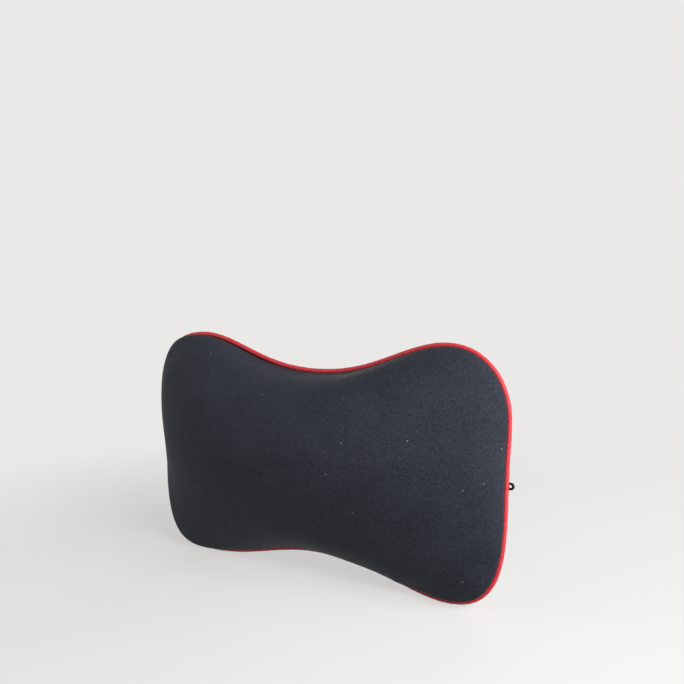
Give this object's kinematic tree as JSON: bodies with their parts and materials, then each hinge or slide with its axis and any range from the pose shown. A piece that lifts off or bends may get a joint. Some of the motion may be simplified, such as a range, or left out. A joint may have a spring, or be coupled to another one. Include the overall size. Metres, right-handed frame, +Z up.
{
  "type": "foam headrest pillow",
  "caption": "Bone-shaped foam headrest pillow in a zipped knit cover with red piping, a flat back and an elastic strap to hang it by.",
  "frame": {"origin": "centre of the flat back, on the upper back panel between the strap and the zip", "axes": "+X along the pillow's width, to the right as seen from the front; -Y out of the domed front, +Y out of the flat back; +Z up"},
  "size_m": [0.3022, 0.1003, 0.1798],
  "materials": {
    "foam": "grey open-cell memory foam with charcoal in it, matt",
    "knit": "charcoal smooth knit with a soft sheen",
    "piping_cloth": "red knit piping, soft sheen",
    "elastic": "black woven elastic with fine ribs",
    "zip_tape": "black woven zip tape, matt",
    "zip_teeth": "black nylon zip teeth, low gloss",
    "zip_metal": "dark plated zinc, smooth"
  },
  "bodies": {
    "pillow": {"foam_core": "foam", "front_cover": "knit", "back_cover_upper": "knit", "back_cover_lower": "knit", "piping": "piping_cloth", "strap": "elastic", "zip_tape_upper": "zip_tape", "zip_tape_lower": "zip_tape", "zip_teeth_upper": "zip_teeth", "zip_teeth_lower": "zip_teeth", "zip_stop_end": "zip_metal", "zip_stop_upper": "zip_metal", "zip_stop_lower": "zip_metal"},
    "slider": {"zip_slider": "zip_metal"},
    "pull": {"zip_pull": "zip_metal"}
  },
  "joints": [
    {"name": "zip_slide", "type": "slide", "parent": "pillow", "child": "slider", "axis": [1, 0, 0], "range_m": [-0.2105, 0]},
    {"name": "pull_swing", "type": "hinge", "parent": "slider", "child": "pull", "pos_m": [0.1055, 0.0036, -0.014], "axis": [0, 0, 1], "range_deg": [0, 180]}
  ]
}
